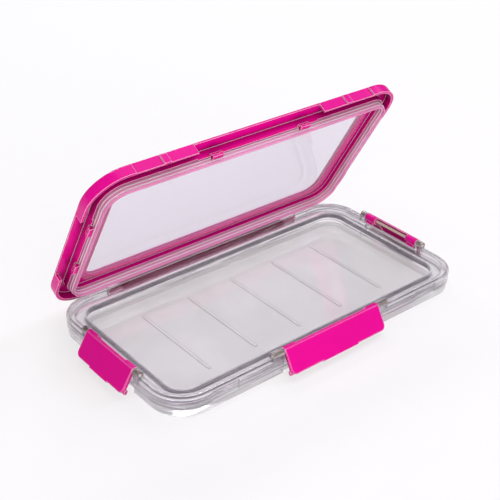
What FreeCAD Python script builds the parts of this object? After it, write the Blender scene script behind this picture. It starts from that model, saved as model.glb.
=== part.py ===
import FreeCAD, Part
import math
import os

# Waterproof phone case, standing open: a clear tray with a hinged lid frame, a seal
# ring, a clear window and three cam latches on steel pins.
# Millimetres. Origin at the middle of the tray's underside, X along the case,
# Y towards the hinge, Z up. Offsets are measured inwards from the lid's outline.

V = FreeCAD.Vector

# Closed case
half_length = 91.2
half_width = 49.1
corner_radius = 18.0
parting_height = 10.5
closed_height = 16.1
edge_gap = 0.4
running_gap = 0.3
parting_gap = 0.15
root = 0.1
beyond = 1.0

# Tray
tray_floor = 2.2
tray_edge_chamfer = 1.6
tray_step_height = 5.2
tray_step_depth = 0.5
rim_offset = 1.9
rim_width = 2.1
rim_rise = 0.9
land_height = 6.5
channel_gap = 0.4
pocket_lip_width = 0.6
pocket_lip_height = 2.8
pocket_chamfer = 1.2
floor_rib_width = 1.4
floor_rib_height = 0.6
floor_rib_count = 5
floor_rib_length = 52.0

# Lid frame
plate_thickness = 1.4
skirt_thickness = 1.5
lid_edge_fillet = 1.3
recess_end_gap = 1.5
bumper_start = 70.0
skirt_rib_start = 52.0
skirt_rib_width = 3.5
panel_depth = 0.6
groove_wall_width = 0.7
groove_wall_height = 3.65
latch_wall_height = 4.3
bezel_drop = 1.4
bezel_thickness = 1.6
bezel_rim_width = 1.9
lid_angle = 60.5

# Window and its bond
window_inset_x = 17.1
window_inset_y = 14.45
window_radius = 7.5
film_overlap = 3.6
film_thickness = 0.5
bond_thickness = 0.15

# Seal ring
seal_offset = 7.5
seal_width = 1.1
seal_wall_gap = 0.3
seal_root_depth = 0.4
seal_clearance = 0.3
seal_tip_height = 0.9
seal_tip_inset = 0.3
groove_gap = 0.05

# Hinge
hinge_inset = 0.9
hinge_z = 7.6
hinge_radius = 1.9
barrel_half = 53.0
knuckle_length = 7.5
hinge_pin_radius = 0.8
pin_running_fit = 0.05
barrel_end_gap = 0.25

# Latches
latch_pin_offset = 2.1
latch_pin_z = 12.4
latch_pin_radius = 0.75
latch_barrel_radius = 1.9
latch_face = 2.0
latch_thickness = 1.8
latch_top_rise = 1.0
latch_drop = 11.7
latch_grip_drop = 0.4
latch_corner = 2.6
latch_chamfer = 0.35
latch_web = 1.15
latch_flare = 31.5
latch_side_gap = 0.3
latch_half = {"front": 29.4, "left": 18.4, "right": 18.4}
latch_grip_half = {"front": 11.0, "left": 7.0, "right": 7.0}
latch_end_length = 7.2
lip_thickness = 2.0
lip_reach = 3.1
lug_length = {"front": 6.0, "left": 3.4, "right": 3.4}
cam_radius = 3.4
cam_start = 197.0
cam_end = 222.0
cam_spread = 12.0
cam_foot_radius = 1.5
cam_half = 2.6
cam_inset = 3.4
tab_half = 3.0
tab_face = 2.6
tab_height = 1.35
brace_face = 3.4
tab_notch = 0.7

# Worked out from the sizes above
lid_under = closed_height - plate_thickness
rim_top = parting_height + rim_rise
rim_inner_offset = rim_offset + rim_width
lip_height = land_height + pocket_lip_height
seal_bottom = land_height + seal_clearance
outer_wall_offset = seal_offset - seal_wall_gap - groove_wall_width
inner_wall_offset = seal_offset + seal_width + seal_wall_gap
pocket_offset = seal_offset + seal_width + channel_gap + pocket_lip_width
bezel_under = lid_under - bezel_drop
bezel_rim_offset = inner_wall_offset + groove_wall_width + bezel_rim_width
film_top = bezel_under - bond_thickness
latch_inner = latch_face - latch_thickness
latch_wall_offset = latch_pin_offset - latch_inner + edge_gap
latch_floor_z = latch_pin_z - cam_radius - edge_gap
latch_clear_offset = latch_pin_offset + latch_barrel_radius + running_gap
hinge_y = half_width - hinge_inset
hinge_recess_y = hinge_y - hinge_radius - edge_gap
hinge_recess_floor = hinge_z - hinge_radius - edge_gap
lid_hinge = V(0, hinge_y, hinge_z)

places = {
    "front": (V(0, -(half_width - latch_pin_offset), latch_pin_z), -90),
    "left": (V(-(half_length - latch_pin_offset), 0, latch_pin_z), 180),
    "right": (V(half_length - latch_pin_offset, 0, latch_pin_z), 0),
}


def outline(offset, z):
    """Rounded rectangle that lies inside the lid's outline by offset, at height z."""
    return rounded(half_length - offset, half_width - offset, corner_radius - offset, z)


def window_outline(margin, z):
    """Rounded rectangle that lies outside the window's edge by margin, at height z."""
    a = half_length - window_inset_x + margin
    b = half_width - window_inset_y + margin
    return rounded(a, b, window_radius + margin, z)


def rounded(a, b, r, z):
    k = r * (1 - math.sqrt(0.5))
    edges = []
    for sx, sy in ((1, -1), (1, 1), (-1, 1), (-1, -1)):
        ends = [V(sx * a, sy * (b - r), z), V(sx * (a - r), sy * b, z)]
        if sx * sy < 0:
            ends.reverse()
        middle = V(sx * (a - k), sy * (b - k), z)
        edges.append(Part.Arc(ends[0], middle, ends[1]).toShape())
    lines = []
    for i, arc in enumerate(edges):
        end = arc.Curve.value(arc.LastParameter)
        following = edges[(i + 1) % 4]
        start = following.Curve.value(following.FirstParameter)
        lines.append(Part.LineSegment(end, start).toShape())
    return Part.Wire([edge for pair in zip(edges, lines) for edge in pair])


def slab(offset, z0, z1):
    return Part.Face(outline(offset, z0)).extrude(V(0, 0, z1 - z0))


def band(outer_offset, inner_offset, z0, z1):
    return slab(outer_offset, z0, z1).cut(slab(inner_offset, z0, z1))


def window_slab(margin, z0, z1):
    return Part.Face(window_outline(margin, z0)).extrude(V(0, 0, z1 - z0))


def box(x0, x1, y0, y1, z0, z1):
    return Part.makeBox(x1 - x0, y1 - y0, z1 - z0, V(x0, y0, z0))


def rod(radius, p0, p1):
    along = p1 - p0
    return Part.makeCylinder(radius, along.Length, p0, along)


def edges_at(solid, z):
    """Edges that lie wholly at height z."""
    flat = [e for e in solid.Edges if abs(e.BoundBox.ZMin - z) < 1e-6]
    return [e for e in flat if abs(e.BoundBox.ZMax - z) < 1e-6]


def latch_to_case(shape, side):
    """Carries a shape from the latch frame, pin on Y and outwards on X, to its side."""
    pin, turn = places[side]
    shape = shape.copy()
    shape.rotate(V(0, 0, 0), V(0, 0, 1), turn)
    shape.translate(pin)
    return shape


def lug_end(side):
    return latch_half[side] + latch_side_gap + lug_length[side]


def tab_place(side):
    return latch_half[side] - cam_inset


def latch_box(side, half, x_out, x_in, z0, z1):
    """Box in the case beside a latch; x_out and x_in are offsets from the lid's outline."""
    x0, x1 = latch_pin_offset - x_in, latch_pin_offset - x_out
    return latch_to_case(box(x0, x1, -half, half, z0 - latch_pin_z, z1 - latch_pin_z), side)


def make_tray():
    step = slab(edge_gap + tray_step_depth, 0, tray_step_height)
    step = step.makeChamfer(tray_edge_chamfer, edges_at(step, 0))
    shell = step.fuse(slab(edge_gap, tray_step_height, parting_height - parting_gap))
    shell = shell.fuse(slab(rim_offset, parting_height - parting_gap, rim_top))
    panel = (skirt_rib_start + skirt_rib_width, bumper_start)
    shell = shell.cut(make_panels(edge_gap + tray_step_depth, [panel]))
    shell = shell.cut(slab(rim_inner_offset, land_height, rim_top + beyond))
    lip = band(pocket_offset - pocket_lip_width, pocket_offset, land_height, lip_height)
    pocket = slab(pocket_offset, tray_floor, rim_top + beyond)
    pocket = pocket.makeChamfer(pocket_chamfer, edges_at(pocket, tray_floor))
    shell = shell.fuse(lip).cut(pocket)
    for side in places:
        half = latch_half[side] + latch_side_gap
        bay = lug_end(side) + edge_gap
        shell = shell.cut(latch_box(side, bay, -beyond, latch_clear_offset, latch_floor_z, rim_top + beyond))
        wall_top = latch_floor_z + beyond
        shell = shell.cut(latch_box(side, half, -beyond, latch_wall_offset, -beyond, wall_top))
        lip_in = latch_pin_offset - latch_face + lip_reach + edge_gap
        lip_top = latch_pin_z - latch_drop + lip_thickness + edge_gap
        shell = shell.cut(latch_box(side, half, -beyond, lip_in, -beyond, lip_top))
    reach = barrel_half + barrel_end_gap + knuckle_length
    recess = box(-reach, reach, hinge_recess_y, half_width + beyond, hinge_recess_floor, rim_top + beyond)
    shell = shell.cut(recess)
    for side in places:
        for lug in make_lugs(side):
            shell = shell.fuse(lug)
    for sign in (-1, 1):
        shell = shell.fuse(make_knuckle(sign))
    for rib in make_floor_ribs():
        shell = shell.fuse(rib)
    for side in places:
        shell = shell.cut(make_latch_pin(side))
    return shell.cut(make_hinge_pin()).removeSplitter()


def make_lugs(side):
    lugs = []
    radius = latch_barrel_radius
    for sign in (-1, 1):
        start = sign * (latch_half[side] + latch_side_gap)
        end = sign * lug_end(side)
        y0, y1 = min(start, end), max(start, end)
        foot = latch_floor_z - latch_pin_z - root
        outer = latch_pin_offset - edge_gap
        eye = rod(radius, V(0, y0, 0), V(0, y1, 0))
        post = box(-radius, outer, y0, y1, foot, 0)
        lugs.append(latch_to_case(eye.fuse(post), side))
    return lugs


def make_knuckle(sign):
    start = barrel_half + barrel_end_gap
    x0, x1 = sorted((sign * start, sign * (start + knuckle_length)))
    eye = rod(hinge_radius, V(x0, hinge_y, hinge_z), V(x1, hinge_y, hinge_z))
    y0 = hinge_recess_y - root
    z0 = hinge_recess_floor - root
    web = box(x0, x1, y0, hinge_y, z0, hinge_z)
    gusset = box(x0, x1, y0, half_width - edge_gap, z0, hinge_z - hinge_radius)
    return eye.fuse(web).fuse(gusset)


def make_floor_ribs():
    ribs = []
    pitch = 2 * (half_length - pocket_offset) / (floor_rib_count + 1)
    for i in range(floor_rib_count):
        x = (i - (floor_rib_count - 1) / 2) * pitch
        w = floor_rib_width / 2
        ribs.append(box(x - w, x + w, -floor_rib_length / 2, floor_rib_length / 2,
                        tray_floor - root, tray_floor + floor_rib_height))
    return ribs


def make_lid_frame():
    frame = slab(0, parting_height, closed_height)
    frame = frame.makeFillet(lid_edge_fillet, edges_at(frame, closed_height))
    frame = frame.cut(slab(skirt_thickness, parting_height, lid_under))
    inner_panel = (lug_end("front") + recess_end_gap, skirt_rib_start)
    outer_panel = (skirt_rib_start + skirt_rib_width, bumper_start)
    frame = frame.cut(make_panels(panel_depth, [inner_panel, outer_panel]))
    for offset in (outer_wall_offset, inner_wall_offset):
        wall = band(offset, offset + groove_wall_width, lid_under - groove_wall_height, lid_under)
        frame = frame.fuse(wall)
    frame = frame.fuse(slab(inner_wall_offset, bezel_under, lid_under))
    frame = frame.cut(slab(bezel_rim_offset, bezel_under + bezel_thickness, closed_height))
    frame = frame.cut(window_slab(0, bezel_under, closed_height))
    groove_top = lid_under + seal_root_depth + groove_gap
    groove = band(seal_offset - groove_gap, seal_offset + seal_width + groove_gap, lid_under, groove_top)
    frame = frame.cut(groove)
    for side in places:
        recess_half = lug_end(side) + recess_end_gap
        frame = frame.cut(latch_box(side, recess_half, -beyond, outer_wall_offset, 0, lid_under))
        frame = frame.fuse(make_latch_wall(side))
    frame = frame.fuse(make_hinge_barrel())
    for sign in (-1, 1):
        start = barrel_half
        x0, x1 = sorted((sign * start, sign * (start + knuckle_length + 2 * barrel_end_gap)))
        clearance = rod(hinge_radius + running_gap, V(x0, hinge_y, hinge_z), V(x1, hinge_y, hinge_z))
        frame = frame.cut(clearance)
    bore_ends = V(-half_length, hinge_y, hinge_z), V(half_length, hinge_y, hinge_z)
    return frame.cut(rod(hinge_pin_radius + pin_running_fit, *bore_ends)).removeSplitter()


def make_panels(depth, spans):
    """Shallow panels in the front and rear walls, over the spans in x on both sides."""
    cuts = []
    for x0, x1 in spans:
        for left in (-x1, x0):
            for y in (-half_width - beyond, half_width - depth):
                cuts.append(box(left, left + x1 - x0, y, y + depth + beyond, 0, closed_height))
    return cuts[0].fuse(cuts[1:])


def make_latch_wall(side):
    """Deeper stretch of the outer groove wall in a latch recess, with the two tabs that the cams hold."""
    x_wall = latch_pin_offset - outer_wall_offset
    inside = outer_wall_offset + groove_wall_width
    wall_z = lid_under - latch_wall_height
    wall = latch_box(side, lug_end(side), outer_wall_offset, inside, wall_z, lid_under)
    z0 = latch_floor_z - latch_pin_z
    z1 = z0 + tab_height
    for sign in (-1, 1):
        y0 = sign * tab_place(side) - tab_half
        y1 = y0 + 2 * tab_half
        arm = box(x_wall - groove_wall_width, x_wall, y0, y1, z0, 0)
        tab = box(x_wall - root, -tab_face, y0, y1, z0, z1)
        brace = box(x_wall - root, -brace_face, y0, y1, z0, z1 + tab_height)
        y_mid = (y0 + y1) / 2
        notch = box(-tab_face - tab_notch, -tab_face, y_mid - tab_notch, y_mid + tab_notch,
                    z1 - tab_notch / 2, z1)
        wall = wall.fuse(latch_to_case(arm.fuse([tab, brace]).cut(notch), side))
    return wall


def make_hinge_barrel():
    barrel = rod(hinge_radius, V(-barrel_half, hinge_y, hinge_z), V(barrel_half, hinge_y, hinge_z))
    y0, y1 = half_width - skirt_thickness, half_width - panel_depth
    arm = box(-barrel_half, barrel_half, y0, y1, hinge_z, parting_height + skirt_thickness)
    return barrel.fuse(arm)


def make_window():
    return window_slab(film_overlap, film_top - film_thickness, film_top)


def make_window_bond():
    whole = window_slab(film_overlap, film_top, bezel_under)
    return whole.cut(window_slab(0, film_top, bezel_under))


def make_seal_ring():
    outside, inside = seal_offset, seal_offset + seal_width
    tip_top = seal_bottom + seal_tip_height
    body = band(outside, inside, tip_top, lid_under + seal_root_depth)
    tip = band(outside + seal_tip_inset, inside - seal_tip_inset, seal_bottom, tip_top)
    return body.fuse(tip).removeSplitter()


def make_hinge_pin():
    reach = barrel_half + barrel_end_gap + knuckle_length
    return rod(hinge_pin_radius, V(-reach, hinge_y, hinge_z), V(reach, hinge_y, hinge_z))


def make_latch_pin(side):
    end = lug_end(side)
    return latch_to_case(rod(latch_pin_radius, V(0, -end, 0), V(0, end, 0)), side)


def make_latch(side):
    half = latch_half[side]
    grip = latch_grip_half[side]
    inner_end = half - latch_end_length
    plate = box(latch_inner, latch_face, -half, half, -latch_drop, latch_top_rise)
    corners = [e for e in edges_at(plate, -latch_drop) if e.Length < 2 * latch_thickness]
    plate = plate.makeFillet(latch_corner, corners)
    plate = plate.makeChamfer(latch_chamfer, [e for e in plate.Edges if e.BoundBox.XMin > latch_face - root])
    lip_top = -latch_drop + lip_thickness
    grip_bar = box(latch_inner, latch_face, -grip, grip, -latch_drop - latch_grip_drop, lip_top)
    barrel = rod(latch_barrel_radius, V(0, -half, 0), V(0, half, 0))
    lip = box(latch_face - lip_reach, latch_inner + root, -half, half, -latch_drop, lip_top)
    latch = plate.fuse([grip_bar, barrel, lip])
    window = box(-latch_barrel_radius - beyond, latch_face - latch_web, -inner_end, inner_end,
                 lip_top, latch_barrel_radius + beyond)
    latch = latch.cut(window)
    for sign in (-1, 1):
        latch = latch.fuse(make_cam(sign * tab_place(side)))
    bore_ends = V(0, -half - beyond, 0), V(0, half + beyond, 0)
    latch = latch.cut(rod(latch_pin_radius + pin_running_fit, *bore_ends)).removeSplitter()
    latch.rotate(V(0, 0, 0), V(0, -1, 0), latch_flare)
    return latch_to_case(latch, side)


def make_cam(centre):
    """Wedge-shaped cam on a latch's barrel end; it turns over the lid's tab as the latch shuts."""
    def at(angle, radius):
        a = math.radians(angle)
        return V(radius * math.cos(a), centre - cam_half, radius * math.sin(a))
    middle = (cam_start + cam_end) / 2
    foot_start, foot_end = cam_start - cam_spread, cam_end + cam_spread
    arc = Part.Arc(at(cam_start, cam_radius), at(middle, cam_radius), at(cam_end, cam_radius)).toShape()
    down = Part.LineSegment(at(cam_end, cam_radius), at(foot_end, cam_foot_radius)).toShape()
    across = Part.LineSegment(at(foot_end, cam_foot_radius), at(foot_start, cam_foot_radius)).toShape()
    back = Part.LineSegment(at(foot_start, cam_foot_radius), at(cam_start, cam_radius)).toShape()
    return Part.Face(Part.Wire([arc, down, across, back])).extrude(V(0, 2 * cam_half, 0))


def open_lid(shape):
    shape = shape.copy()
    shape.rotate(lid_hinge, V(-1, 0, 0), lid_angle)
    return shape


parts = {
    "base_shell": make_tray(),
    "hinge_pin": make_hinge_pin(),
    "lid_frame": open_lid(make_lid_frame()),
    "lid_window": open_lid(make_window()),
    "window_bond": open_lid(make_window_bond()),
    "seal_ring": open_lid(make_seal_ring()),
}
for side in places:
    parts["latch_" + side] = make_latch(side)
    parts["latch_pin_" + side] = make_latch_pin(side)

os.makedirs("parts", exist_ok=True)
for name, shape in parts.items():
    shape.exportStep("parts/" + name + ".step")
    print(name, "solids", len(shape.Solids), "valid", shape.isValid(), "volume", round(shape.Volume, 1))
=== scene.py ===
import bpy
import math
from mathutils import Matrix, Vector


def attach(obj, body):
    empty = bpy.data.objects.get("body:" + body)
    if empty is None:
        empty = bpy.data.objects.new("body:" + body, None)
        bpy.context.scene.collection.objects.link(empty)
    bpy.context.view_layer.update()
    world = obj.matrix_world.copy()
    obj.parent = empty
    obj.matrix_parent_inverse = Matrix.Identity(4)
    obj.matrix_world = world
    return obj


# Waterproof case, standing open on a pale table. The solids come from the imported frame; this
# script dresses them, adds the fine beads of the seal and lights the set.

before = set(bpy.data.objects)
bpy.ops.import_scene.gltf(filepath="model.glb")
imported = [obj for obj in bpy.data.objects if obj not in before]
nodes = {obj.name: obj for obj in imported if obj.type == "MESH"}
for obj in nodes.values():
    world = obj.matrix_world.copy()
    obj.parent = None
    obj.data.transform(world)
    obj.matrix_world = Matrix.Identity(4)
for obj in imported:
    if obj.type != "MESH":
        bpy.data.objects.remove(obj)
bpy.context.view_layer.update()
print("frame loaded,", len(nodes), "nodes")

scene = bpy.context.scene
mm = 0.001
perMetre = 1000     # divided by a size in mm it gives a pattern's scale


# colour and node helpers, used by every finish below
def hexColour(code):
    def linear(part):
        c = int(part, 16) / 255
        return c / 12.92 if c <= 0.04045 else ((c + 0.055) / 1.055) ** 2.4
    return (linear(code[1:3]), linear(code[3:5]), linear(code[5:7]), 1.0)


def addNode(tree, kind, settings=None, inputs=None):
    # inputs maps a socket name or number to a value, or to an output socket to link from;
    # Map Range has its limits on 1 and 2 and its results on 3 and 4, a colour Mix its colours
    # on 6 and 7
    node = tree.nodes.new(kind)
    for key, value in (settings or {}).items():
        setattr(node, key, value)
    for key, value in (inputs or {}).items():
        if isinstance(value, bpy.types.NodeSocket):
            tree.links.new(value, node.inputs[key])
        else:
            node.inputs[key].default_value = value
    return node


def startMaterial(name):
    material = bpy.data.materials.new(name)
    material.use_nodes = True
    tree = material.node_tree
    tree.nodes.clear()
    output = addNode(tree, "ShaderNodeOutputMaterial")
    place = addNode(tree, "ShaderNodeTexCoord")
    return material, tree, output, place.outputs["Object"]


def endMaterial(tree, output, shader):
    tree.links.new(shader.outputs[0], output.inputs["Surface"])


# limits of the mask for the painted edge highlights
edgeHighlightLook = {
    "startsAt": 0.99,   # cosine of the angle by which a rounded edge turns the surface
    "fullAt": 0.82,
}


def edgeHighlightMask(tree, rounded):
    # mask of the painted edge highlights: 1 along the moulded edges, 0 on the flats beside them
    shape = addNode(tree, "ShaderNodeNewGeometry")
    turn = addNode(tree, "ShaderNodeVectorMath", {"operation": "DOT_PRODUCT"}, {
        0: rounded.outputs["Normal"], 1: shape.outputs["Normal"]})
    mask = addNode(tree, "ShaderNodeMapRange", {}, {
        0: turn.outputs["Value"], 1: edgeHighlightLook["startsAt"], 2: edgeHighlightLook["fullAt"], 3: 0.0, 4: 1.0})
    return mask.outputs[0]


def dress(node, material):
    mesh = nodes[node].data
    mesh.materials.clear()
    mesh.materials.append(material)


# clear polycarbonate, injection moulded and polished: glassy, with a faint waviness along its
# walls that bends the lines seen through it; painted dark streaks on its walls, painted shade in
# its creases and painted highlights along its edges
clearCase = {
    "tint": "#E2DDE3",
    "ior": 1.585,
    "roughness": 0.02,
    "cover": 0.92,             # share of the light that bends or glints, the rest goes straight on
    "coverLow": 0.44,          # the same in the thin floor and foot
    "footHeight": 5.2,         # mm
    "footBlend": 0.3,          # mm
    "shadow": 0.2,             # share of the full shadow that the walls throw
    "paintedStreakTint": "#564F5A",   # painted dark streaks along the walls, standing in for the lines that refraction draws there
    "streakLength": 45.0,      # mm
    "streakSpacing": 1.1,      # mm
    "streakFrom": 0.46,        # noise level where a streak starts, and where it is full
    "streakTo": 0.58,
    "paintedStreakShare": 0.9,
    "flatFrom": 0.7,           # upward part of a face's normal on the floor and rim
    "steepFrom": 0.3,          # the same on the walls
    "flatShare": 0.2,          # what the floor and rim keep of the streaks and the waviness
    "flowLength": 11.0,        # mm, length of the waves along the walls
    "flowSpacing": 0.9,        # mm, distance of the waves up the walls
    "flowHeight": 0.26,        # mm
    "creaseShadeTint": "#4A454F",   # painted shade: the creases are painted darker than the flats
    "creaseReach": 1.8,        # mm
    "creaseFrom": 0.88,        # openness where a crease starts, and where it is full
    "creaseTo": 0.45,
    "hingeReflectionTint": "#F09CCB",    # painted pink reflection of the lid, in place of the painted shade in the creases under the hinge
    "hingeFrom": 42.0,         # mm behind the middle
    "hingeBlend": 2.0,         # mm
    "edgeRound": 0.4,          # mm, rounding of the moulded edges
    "edgeHighlightTint": "#F6F2F6",     # painted highlight: the polished edges are painted brighter than the flats
    "edgeHighlightRoughness": 0.2,
    "edgeHighlightShare": 0.8,
}


def makeClearPolycarbonate():
    look = clearCase
    material, tree, output, place = startMaterial("clearPolycarbonateMoulded")
    flow = addNode(tree, "ShaderNodeMapping", {}, {
        "Vector": place, "Scale": (perMetre / look["flowLength"], perMetre / look["flowLength"],
                                   perMetre / look["flowSpacing"])})
    wave = addNode(tree, "ShaderNodeTexNoise", {}, {
        "Vector": flow.outputs[0], "Scale": 1.0, "Detail": 2.0, "Roughness": 0.4})
    rounded = addNode(tree, "ShaderNodeBevel", {"samples": 6}, {"Radius": look["edgeRound"] * mm})
    hollow = addNode(tree, "ShaderNodeAmbientOcclusion", {"samples": 6, "only_local": True}, {
        "Distance": look["creaseReach"] * mm})
    # painted shade: the more closed in a point is, the more of the crease tint it gets
    creaseShadeMask = addNode(tree, "ShaderNodeMapRange", {}, {
        0: hollow.outputs["AO"], 1: look["creaseFrom"], 2: look["creaseTo"], 3: 0.0, 4: 1.0})
    along = addNode(tree, "ShaderNodeMapping", {}, {
        "Vector": place, "Scale": (perMetre / look["streakLength"], perMetre / look["streakLength"],
                                   perMetre / look["streakSpacing"])})
    streak = addNode(tree, "ShaderNodeTexNoise", {}, {
        "Vector": along.outputs[0], "Scale": 1.0, "Detail": 2.0, "Roughness": 0.6})
    paintedStreakShare = addNode(tree, "ShaderNodeMapRange", {}, {
        0: streak.outputs["Fac"], 1: look["streakFrom"], 2: look["streakTo"],
        3: 0.0, 4: look["paintedStreakShare"]})
    # the steep faces get the painted dark streaks and the waviness, the floor and the rim stay
    # nearly even
    shape = addNode(tree, "ShaderNodeNewGeometry")
    facing = addNode(tree, "ShaderNodeSeparateXYZ", {}, {0: shape.outputs["Normal"]})
    upward = addNode(tree, "ShaderNodeMath", {"operation": "ABSOLUTE"}, {0: facing.outputs["Z"]})
    steep = addNode(tree, "ShaderNodeMapRange", {}, {
        0: upward.outputs[0], 1: look["flatFrom"], 2: look["steepFrom"],
        3: look["flatShare"], 4: 1.0})
    steepStreak = addNode(tree, "ShaderNodeMath", {"operation": "MULTIPLY"}, {
        0: paintedStreakShare.outputs[0], 1: steep.outputs[0]})
    openTint = addNode(tree, "ShaderNodeMix", {"data_type": "RGBA"}, {
        0: steepStreak.outputs[0], 6: hexColour(look["tint"]), 7: hexColour(look["paintedStreakTint"])})
    where = addNode(tree, "ShaderNodeSeparateXYZ", {}, {0: place})
    rear = look["hingeFrom"] * mm
    nearHinge = addNode(tree, "ShaderNodeMapRange", {}, {
        0: where.outputs["Y"], 1: rear, 2: rear + look["hingeBlend"] * mm, 3: 0.0, 4: 1.0})
    creaseShadeTint = addNode(tree, "ShaderNodeMix", {"data_type": "RGBA"}, {
        0: nearHinge.outputs[0], 6: hexColour(look["creaseShadeTint"]), 7: hexColour(look["hingeReflectionTint"])})
    tint = addNode(tree, "ShaderNodeMix", {"data_type": "RGBA"}, {
        0: creaseShadeMask.outputs[0], 6: openTint.outputs[2], 7: creaseShadeTint.outputs[2]})
    foot = look["footHeight"] * mm
    cover = addNode(tree, "ShaderNodeMapRange", {}, {
        0: where.outputs["Z"], 1: foot, 2: foot + look["footBlend"] * mm,
        3: look["coverLow"], 4: look["cover"]})
    # for a shadow ray the cover shrinks, so that the clear walls throw a faint shadow only
    path = addNode(tree, "ShaderNodeLightPath")
    unshaded = addNode(tree, "ShaderNodeMath", {"operation": "MULTIPLY_ADD"}, {
        0: path.outputs["Is Shadow Ray"], 1: look["shadow"] - 1.0, 2: 1.0})
    alpha = addNode(tree, "ShaderNodeMath", {"operation": "MULTIPLY"}, {
        0: cover.outputs[0], 1: unshaded.outputs[0]})
    bump = addNode(tree, "ShaderNodeBump", {}, {
        "Strength": steep.outputs[0], "Distance": look["flowHeight"] * mm,
        "Height": wave.outputs["Fac"], "Normal": rounded.outputs["Normal"]})
    glassy = addNode(tree, "ShaderNodeBsdfPrincipled", {}, {
        "Base Color": tint.outputs[2], "Roughness": look["roughness"], "IOR": look["ior"],
        "Transmission Weight": 1.0, "Alpha": alpha.outputs[0], "Normal": bump.outputs["Normal"]})
    # painted highlight: a pale finish mixed in along the open edges, kept out of the painted crease
    # shade
    edgeHighlight = addNode(tree, "ShaderNodeBsdfPrincipled", {}, {
        "Base Color": hexColour(look["edgeHighlightTint"]), "Roughness": look["edgeHighlightRoughness"],
        "Normal": rounded.outputs["Normal"]})
    openEdgeHighlight = addNode(tree, "ShaderNodeMath", {"operation": "SUBTRACT"}, {
        0: edgeHighlightMask(tree, rounded), 1: creaseShadeMask.outputs[0]})
    share = addNode(tree, "ShaderNodeMath", {"operation": "MULTIPLY", "use_clamp": True}, {
        0: openEdgeHighlight.outputs[0], 1: look["edgeHighlightShare"]})
    mix = addNode(tree, "ShaderNodeMixShader", {}, {
        0: share.outputs[0], 1: glassy.outputs[0], 2: edgeHighlight.outputs[0]})
    endMaterial(tree, output, mix)
    return material


# hot pink polycarbonate, injection moulded: opaque, with a gloss skin that has a slight orange
# peel; painted highlights make its thin edges pale and painted shade makes its recesses deep
pinkCase = {
    "colour": "#EA0896",
    "deepColour": "#DC088C",
    "patchSize": 38.0,         # mm, slow colour drift of the pigment
    "ior": 1.55,
    "roughness": 0.2,
    "shine": 0.15,
    "softShare": 0.1,          # share of the light that spreads under the skin
    "softReach": (1.2, 0.2, 0.5),   # mm, for red, green and blue
    "peelSize": 1.6,           # mm
    "peelHeight": 0.012,       # mm
    "peelStrength": 0.3,
    "edgeRound": 0.55,         # mm
    "edgeHighlightColour": "#FFE2F3",   # painted highlight: the thin edges are painted pale for the light they let through and catch
    "edgeHighlightShare": 0.9,
    # painted shade in the recesses, darkest where the least light reaches
    "recessShadeColour": "#780044",
    "recessReach": 6.0,        # mm
    "recessFrom": 0.85,        # openness where a recess starts, and where it is full
    "recessTo": 0.4,
    "recessShadeShare": 0.9,
}


def makePinkPolycarbonate():
    look = pinkCase
    material, tree, output, place = startMaterial("pinkPolycarbonateMoulded")
    patch = addNode(tree, "ShaderNodeTexNoise", {}, {
        "Vector": place, "Scale": perMetre / look["patchSize"], "Detail": 1.0})
    colour = addNode(tree, "ShaderNodeMix", {"data_type": "RGBA"}, {
        0: patch.outputs["Fac"], 6: hexColour(look["colour"]), 7: hexColour(look["deepColour"])})
    peel = addNode(tree, "ShaderNodeTexNoise", {}, {
        "Vector": place, "Scale": perMetre / look["peelSize"], "Detail": 2.0})
    rounded = addNode(tree, "ShaderNodeBevel", {"samples": 6}, {"Radius": look["edgeRound"] * mm})
    edgeHighlight = addNode(tree, "ShaderNodeMath", {"operation": "MULTIPLY"}, {
        0: edgeHighlightMask(tree, rounded), 1: look["edgeHighlightShare"]})
    hollow = addNode(tree, "ShaderNodeAmbientOcclusion", {"samples": 6}, {
        "Distance": look["recessReach"] * mm})
    # painted shade: the more closed in a point is, the deeper its colour
    recessShade = addNode(tree, "ShaderNodeMapRange", {}, {
        0: hollow.outputs["AO"], 1: look["recessFrom"], 2: look["recessTo"],
        3: 0.0, 4: look["recessShadeShare"]})
    shaded = addNode(tree, "ShaderNodeMix", {"data_type": "RGBA"}, {
        0: recessShade.outputs[0], 6: colour.outputs[2], 7: hexColour(look["recessShadeColour"])})
    # painted highlight: the thin edges are turned pale
    edgeHighlighted = addNode(tree, "ShaderNodeMix", {"data_type": "RGBA"}, {
        0: edgeHighlight.outputs[0], 6: shaded.outputs[2], 7: hexColour(look["edgeHighlightColour"])})
    bump = addNode(tree, "ShaderNodeBump", {}, {
        "Strength": look["peelStrength"], "Distance": look["peelHeight"] * mm,
        "Height": peel.outputs["Fac"], "Normal": rounded.outputs["Normal"]})
    shader = addNode(tree, "ShaderNodeBsdfPrincipled", {}, {
        "Base Color": edgeHighlighted.outputs[2], "Roughness": look["roughness"], "IOR": look["ior"],
        "Specular IOR Level": look["shine"], "Subsurface Weight": look["softShare"],
        "Subsurface Radius": [reach * mm for reach in look["softReach"]],
        "Subsurface Scale": 1.0, "Normal": bump.outputs["Normal"]})
    endMaterial(tree, output, shader)
    return material


# silicone rubber, pressed: translucent and satin, and it takes on the pink around it; the beads get
# a painted highlight
sealLook = {
    "colour": "#FFA2D2",
    "cover": 0.7,              # share that isn't seen straight through
    "beadHighlightColour": "#FFE8F4",   # painted highlight: the beads are painted paler so that they read as bright lines
    "beadCover": 0.85,
    "ior": 1.41,
    "roughness": 0.25,
    "glassyShare": 0.15,
    "softShare": 0.4,          # share of the light that spreads inside
    "softReach": (3.0, 1.2, 2.0),   # mm, for red, green and blue
    "grainSize": 0.8,          # mm
    "grainHeight": 0.02,       # mm
    "grainStrength": 0.3,
}


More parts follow.
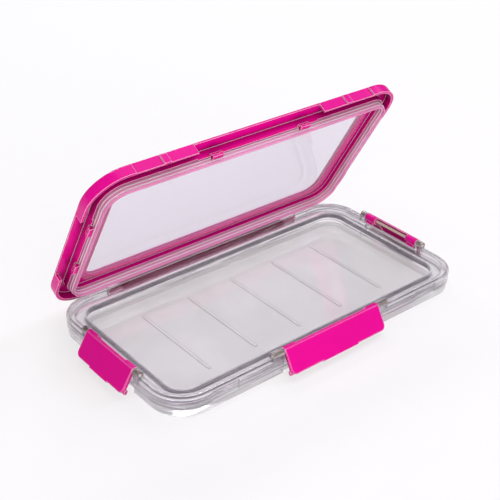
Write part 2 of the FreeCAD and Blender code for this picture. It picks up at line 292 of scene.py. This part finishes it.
def makeSilicone(name, colour, cover):
    look = sealLook
    material, tree, output, place = startMaterial(name)
    grain = addNode(tree, "ShaderNodeTexNoise", {}, {
        "Vector": place, "Scale": perMetre / look["grainSize"], "Detail": 2.0})
    bump = addNode(tree, "ShaderNodeBump", {}, {
        "Strength": look["grainStrength"], "Distance": look["grainHeight"] * mm,
        "Height": grain.outputs["Fac"]})
    shader = addNode(tree, "ShaderNodeBsdfPrincipled", {}, {
        "Base Color": hexColour(colour), "Roughness": look["roughness"], "IOR": look["ior"],
        "Alpha": cover, "Transmission Weight": look["glassyShare"],
        "Subsurface Weight": look["softShare"],
        "Subsurface Radius": [reach * mm for reach in look["softReach"]],
        "Subsurface Scale": 1.0, "Normal": bump.outputs["Normal"]})
    endMaterial(tree, output, shader)
    return material


# polyester film of the window, rolled and coated: clear and slightly milky, with slow ripples;
# the same finish serves the adhesive under it, without gloss and nearly opaque
filmLook = {
    "tint": "#F6F3F8",
    "milk": "#ECE8F0",
    "milkShare": 0.08,
    "milkRoughness": 0.5,
    "bondMilk": "#FF30A0",     # the adhesive strip shows the pink of the bezel
    "bondShare": 0.85,
    "ior": 1.5,
    "roughness": 0.06,
    "rippleSize": 46.0,        # mm
    "rippleHeight": 0.25,      # mm
    "rippleStrength": 0.25,
}


def makeFilm(name, milk, milkShare, shine):
    look = filmLook
    material, tree, output, place = startMaterial(name)
    ripple = addNode(tree, "ShaderNodeTexNoise", {}, {
        "Vector": place, "Scale": perMetre / look["rippleSize"], "Detail": 0.0})
    bump = addNode(tree, "ShaderNodeBump", {}, {
        "Strength": look["rippleStrength"], "Distance": look["rippleHeight"] * mm,
        "Height": ripple.outputs["Fac"]})
    clear = addNode(tree, "ShaderNodeBsdfTransparent", {}, {"Color": hexColour(look["tint"])})
    milky = addNode(tree, "ShaderNodeBsdfPrincipled", {}, {
        "Base Color": hexColour(milk), "Roughness": look["milkRoughness"],
        "Specular IOR Level": 0.0})
    gloss = addNode(tree, "ShaderNodeBsdfGlossy", {}, {
        "Roughness": look["roughness"], "Normal": bump.outputs["Normal"]})
    # only the outer side of a face mirrors, the inner side would mirror everything
    fresnel = addNode(tree, "ShaderNodeFresnel", {}, {
        "IOR": look["ior"], "Normal": bump.outputs["Normal"]})
    shape = addNode(tree, "ShaderNodeNewGeometry")
    outside = addNode(tree, "ShaderNodeMath", {"operation": "SUBTRACT", "use_clamp": True}, {
        0: shine, 1: shape.outputs["Backfacing"]})
    grazing = addNode(tree, "ShaderNodeMath", {"operation": "MULTIPLY"}, {
        0: fresnel.outputs[0], 1: outside.outputs[0]})
    # the sheets lie face to face, so their milk takes no light from each other
    path = addNode(tree, "ShaderNodeLightPath")
    lit = addNode(tree, "ShaderNodeMath", {"operation": "SUBTRACT"}, {
        0: 1.0, 1: path.outputs["Is Shadow Ray"]})
    milkPart = addNode(tree, "ShaderNodeMath", {"operation": "MULTIPLY"}, {
        0: lit.outputs[0], 1: milkShare})
    body = addNode(tree, "ShaderNodeMixShader", {}, {
        0: milkPart.outputs[0], 1: clear.outputs[0], 2: milky.outputs[0]})
    mix = addNode(tree, "ShaderNodeMixShader", {}, {
        0: grazing.outputs[0], 1: body.outputs[0], 2: gloss.outputs[0]})
    endMaterial(tree, output, mix)
    return material


# stainless steel wire of the pins, drawn: satin metal with fine rings round it
pinLook = {
    "colour": "#F2E6D2",
    "metallic": 0.5,           # half, so that the thin pins stay bright under soft lamps
    "roughness": 0.33,
    "ringSpacing": 1.5708,     # mm, much coarser than real so that it shows
    "ringHeight": 0.01,        # mm
    "ringStrength": 0.2,
    "ringDistortion": 3.0,
}


def makeDrawnSteel():
    look = pinLook
    material, tree, output, place = startMaterial("stainlessWireDrawn")
    waveScale = math.tau / 20 * perMetre    # a wave texture repeats every tau / 20 of its scale
    rings = addNode(tree, "ShaderNodeTexWave", {"bands_direction": "Z"}, {
        "Vector": place, "Scale": waveScale / look["ringSpacing"],
        "Distortion": look["ringDistortion"], "Detail": 1.0})
    bump = addNode(tree, "ShaderNodeBump", {}, {
        "Strength": look["ringStrength"], "Distance": look["ringHeight"] * mm,
        "Height": rings.outputs["Fac"]})
    shader = addNode(tree, "ShaderNodeBsdfPrincipled", {}, {
        "Base Color": hexColour(look["colour"]), "Metallic": look["metallic"],
        "Roughness": look["roughness"], "Normal": bump.outputs["Normal"]})
    endMaterial(tree, output, shader)
    return material


clearPolycarbonate = makeClearPolycarbonate()
pinkPolycarbonate = makePinkPolycarbonate()
silicone = makeSilicone("siliconeTranslucent", sealLook["colour"], sealLook["cover"])
siliconeBead = makeSilicone("siliconeBeadPaintedHighlight", sealLook["beadHighlightColour"], sealLook["beadCover"])
windowFilm = makeFilm("polyesterFilm", filmLook["milk"], filmLook["milkShare"], shine=1.0)
bondFilm = makeFilm("milkyAdhesive", filmLook["bondMilk"], filmLook["bondShare"], shine=0.0)
drawnSteel = makeDrawnSteel()

dress("base_shell", clearPolycarbonate)
for name in ("lid_frame", "latch_front", "latch_left", "latch_right"):
    dress(name, pinkPolycarbonate)
dress("seal_ring", silicone)
dress("lid_window", windowFilm)
dress("window_bond", bondFilm)
for name in ("hinge_pin", "latch_pin_front", "latch_pin_left", "latch_pin_right"):
    dress(name, drawnSteel)
print("finishes on", len(nodes), "nodes")


# sealing beads: two thin raised lines on each side of the silicone ring
beadLook = {
    "halfLength": 91.2,         # mm, the lid's outline that the ring follows
    "halfWidth": 49.1,
    "cornerRadius": 18.0,
    "offsets": (7.5, 8.6),      # mm, outer and inner face of the ring, measured inwards
    "heights": (8.5, 10.1),     # mm above the table with the lid shut
    "thickness": 0.6,           # mm
    "roundSteps": 2,            # round the thickness
    "cornerSteps": 14,
    "lidOpen": 60.5,            # degrees, about the hinge
    "hinge": (0.0, 48.2, 7.6),  # mm
}


def makeBead(name, offset, height):
    bpy.ops.object.select_all(action="DESELECT")
    bpy.ops.mesh.primitive_plane_add(size=2, location=(0, 0, 0))
    bead = bpy.context.object
    bead.name = name
    bead.scale = ((beadLook["halfLength"] - offset) * mm, (beadLook["halfWidth"] - offset) * mm, 1)
    bpy.ops.object.transform_apply(location=False, rotation=False, scale=True)
    bpy.ops.object.mode_set(mode="EDIT")
    bpy.ops.mesh.select_all(action="SELECT")
    bpy.ops.mesh.bevel(offset=(beadLook["cornerRadius"] - offset) * mm, offset_type="OFFSET",
                       segments=beadLook["cornerSteps"], affect="VERTICES")
    bpy.ops.mesh.select_all(action="SELECT")
    bpy.ops.mesh.delete(type="ONLY_FACE")
    bpy.ops.object.mode_set(mode="OBJECT")
    bpy.ops.object.convert(target="CURVE")
    bead.data.bevel_depth = beadLook["thickness"] / 2 * mm
    bead.data.bevel_resolution = beadLook["roundSteps"]
    bpy.ops.object.convert(target="MESH")
    # the line is drawn in the shut lid and then swung open with it
    hinge = Vector(beadLook["hinge"]) * mm
    lift = Matrix.Translation(Vector((0, 0, height * mm)) - hinge)
    swing = Matrix.Rotation(math.radians(beadLook["lidOpen"]), 4, Vector((-1, 0, 0)))
    bead.data.transform(Matrix.Translation(hinge) @ swing @ lift)
    bpy.ops.object.shade_smooth()
    bead.data.materials.clear()
    bead.data.materials.append(siliconeBead)
    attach(bead, "lid")


for side, offset in zip(("Outer", "Inner"), beadLook["offsets"]):
    for row, height in zip(("Lower", "Upper"), beadLook["heights"]):
        makeBead("sealBead" + side + row, offset, height)
print("sealing beads on the ring")


# table: matt and pale; it runs into the white backdrop away from the case
tableTop = {
    "size": 6.0,               # m
    "drop": 0.2,               # mm under the case
    "colour": "#F2F1F2",
    "speckColour": "#F6F5F6",
    "speckScale": 60.0,
    "glow": 0.6,               # share of plain white in what the camera sees beside the case
    "near": 0.3,               # m from the middle, where that share starts to rise
    "far": 0.9,                # m, where it is all
    "glowThroughGlass": 0.78,  # the same share for rays that clear plastic bends
    "glowReflected": 0.3,      # and for mirrored ones
}


def makeTable():
    look = tableTop
    material, tree, output, place = startMaterial("paleTable")
    speck = addNode(tree, "ShaderNodeTexNoise", {}, {
        "Vector": place, "Scale": look["speckScale"], "Detail": 1.0})
    colour = addNode(tree, "ShaderNodeMix", {"data_type": "RGBA"}, {
        0: speck.outputs["Fac"], 6: hexColour(look["colour"]), 7: hexColour(look["speckColour"])})
    matt = addNode(tree, "ShaderNodeBsdfDiffuse", {}, {"Color": colour.outputs[2]})
    light = addNode(tree, "ShaderNodeEmission", {}, {"Color": (1, 1, 1, 1), "Strength": 1.0})
    path = addNode(tree, "ShaderNodeLightPath")
    reach = addNode(tree, "ShaderNodeVectorMath", {"operation": "LENGTH"}, {0: place})
    glow = addNode(tree, "ShaderNodeMapRange", {}, {
        0: reach.outputs["Value"], 1: look["near"], 2: look["far"], 3: look["glow"], 4: 1.0})
    direct = addNode(tree, "ShaderNodeMath", {"operation": "MULTIPLY"}, {
        0: path.outputs["Is Camera Ray"], 1: glow.outputs[0]})
    bent = addNode(tree, "ShaderNodeMath", {"operation": "MULTIPLY"}, {
        0: path.outputs["Is Transmission Ray"], 1: look["glowThroughGlass"]})
    mirrored = addNode(tree, "ShaderNodeMath", {"operation": "MULTIPLY"}, {
        0: path.outputs["Is Glossy Ray"], 1: look["glowReflected"]})
    bentOrMirrored = addNode(tree, "ShaderNodeMath", {"operation": "MAXIMUM"}, {
        0: bent.outputs[0], 1: mirrored.outputs[0]})
    share = addNode(tree, "ShaderNodeMath", {"operation": "MAXIMUM"}, {
        0: direct.outputs[0], 1: bentOrMirrored.outputs[0]})
    mix = addNode(tree, "ShaderNodeMixShader", {}, {
        0: share.outputs[0], 1: matt.outputs[0], 2: light.outputs[0]})
    endMaterial(tree, output, mix)
    bpy.ops.mesh.primitive_plane_add(size=look["size"], location=(0, 0, -look["drop"] * mm))
    table = bpy.context.object
    table.name = "paleTable"
    table.data.materials.append(material)


# room: white to the camera, dim in mirrors, banded light and dark to the rays that the clear
# tray bends, so that its walls show stripes
roomLight = {
    "colour": "#E6E6EA",
    "level": 0.5,
    "mirrored": 0.1,
    # height of a direction, and the light level that the bent rays find there
    "bands": [(0.0, 0.75), (0.1, 0.08), (0.28, 0.04), (0.34, 1.0),
              (0.48, 1.0), (0.54, 0.04), (0.82, 0.1), (0.88, 1.0)],
}


def makeWorld():
    world = bpy.data.worlds.new("softRoom")
    scene.world = world
    world.use_nodes = True
    tree = world.node_tree
    tree.nodes.clear()
    output = addNode(tree, "ShaderNodeOutputWorld")
    path = addNode(tree, "ShaderNodeLightPath")
    room = addNode(tree, "ShaderNodeBackground", {}, {
        "Color": hexColour(roomLight["colour"]), "Strength": roomLight["level"]})
    white = addNode(tree, "ShaderNodeBackground", {}, {"Color": (1, 1, 1, 1), "Strength": 1.0})
    place = addNode(tree, "ShaderNodeTexCoord")
    height = addNode(tree, "ShaderNodeSeparateXYZ", {}, {0: place.outputs["Generated"]})
    bands = addNode(tree, "ShaderNodeValToRGB", {}, {0: height.outputs["Z"]})
    ramp = bands.color_ramp
    while len(ramp.elements) < len(roomLight["bands"]):
        ramp.elements.new(0.5)
    for element, (position, level) in zip(ramp.elements, roomLight["bands"]):
        element.position = position
        element.color = (level, level, level, 1)
    bent = addNode(tree, "ShaderNodeBackground", {}, {
        "Color": bands.outputs["Color"], "Strength": 1.0})
    dim = addNode(tree, "ShaderNodeBackground", {}, {
        "Color": (1, 1, 1, 1), "Strength": roomLight["mirrored"]})
    mixBent = addNode(tree, "ShaderNodeMixShader", {}, {
        0: path.outputs["Is Transmission Ray"], 1: room.outputs[0], 2: bent.outputs[0]})
    mixDim = addNode(tree, "ShaderNodeMixShader", {}, {
        0: path.outputs["Is Glossy Ray"], 1: mixBent.outputs[0], 2: dim.outputs[0]})
    mix = addNode(tree, "ShaderNodeMixShader", {}, {
        0: path.outputs["Is Camera Ray"], 1: mixDim.outputs[0], 2: white.outputs[0]})
    tree.links.new(mix.outputs[0], output.inputs["Surface"])


# lamps: softboxes round the case, all turned to a point just above the table; metres and watts
lamps = {
    "keyLamp": {"place": (-0.75, -0.95, 0.65), "size": (0.7, 0.7), "power": 7.0,
                "colour": "#FFF8F2"},
    "frontFill": {"place": (-0.2, -1.0, 0.3), "size": (0.5, 0.5), "power": 2.2,
                  "colour": "#FFFFFF"},
    "topLamp": {"place": (0.25, 0.1, 1.1), "size": (0.9, 0.9), "power": 3.0,
                "colour": "#FFFFFF"},
    "sideLamp": {"place": (1.0, -0.1, 0.8), "size": (0.3, 0.3), "power": 3.6,
                 "colour": "#E4D8FF"},
    "backLamp": {"place": (0.4, 0.95, 1.0), "size": (0.8, 0.12), "power": 5.0,
                 "colour": "#FFFFFF"},
}
lampTarget = (0, 0, 0.03)


def makeLamps():
    for name, lamp in lamps.items():
        bpy.ops.object.light_add(type="AREA", location=lamp["place"])
        light = bpy.context.object
        light.name = name
        light.data.shape = "RECTANGLE"
        light.data.size, light.data.size_y = lamp["size"]
        light.data.energy = lamp["power"]
        light.data.color = hexColour(lamp["colour"])[:3]
        aim = Vector(lampTarget) - Vector(lamp["place"])
        light.rotation_euler = aim.to_track_quat("-Z", "Y").to_euler()


photoCamera = {
    "place": (-0.286716, -0.327885, 0.291438),   # m
    "turn": (59.2029, -1.0146, -39.5442),        # degrees
    "lens": 75.976,                              # mm
    "sensor": 36.0,                              # mm
    "nearest": 0.01,                             # m
}


def makeCamera():
    bpy.ops.object.camera_add(location=photoCamera["place"],
                              rotation=[math.radians(a) for a in photoCamera["turn"]])
    camera = bpy.context.object
    camera.name = "photoCamera"
    camera.data.lens = photoCamera["lens"]
    camera.data.sensor_width = photoCamera["sensor"]
    camera.data.clip_start = photoCamera["nearest"]
    scene.camera = camera


makeTable()
makeWorld()
makeLamps()
makeCamera()
scene.view_settings.view_transform = "Standard"
print("set, lamps and camera ready")
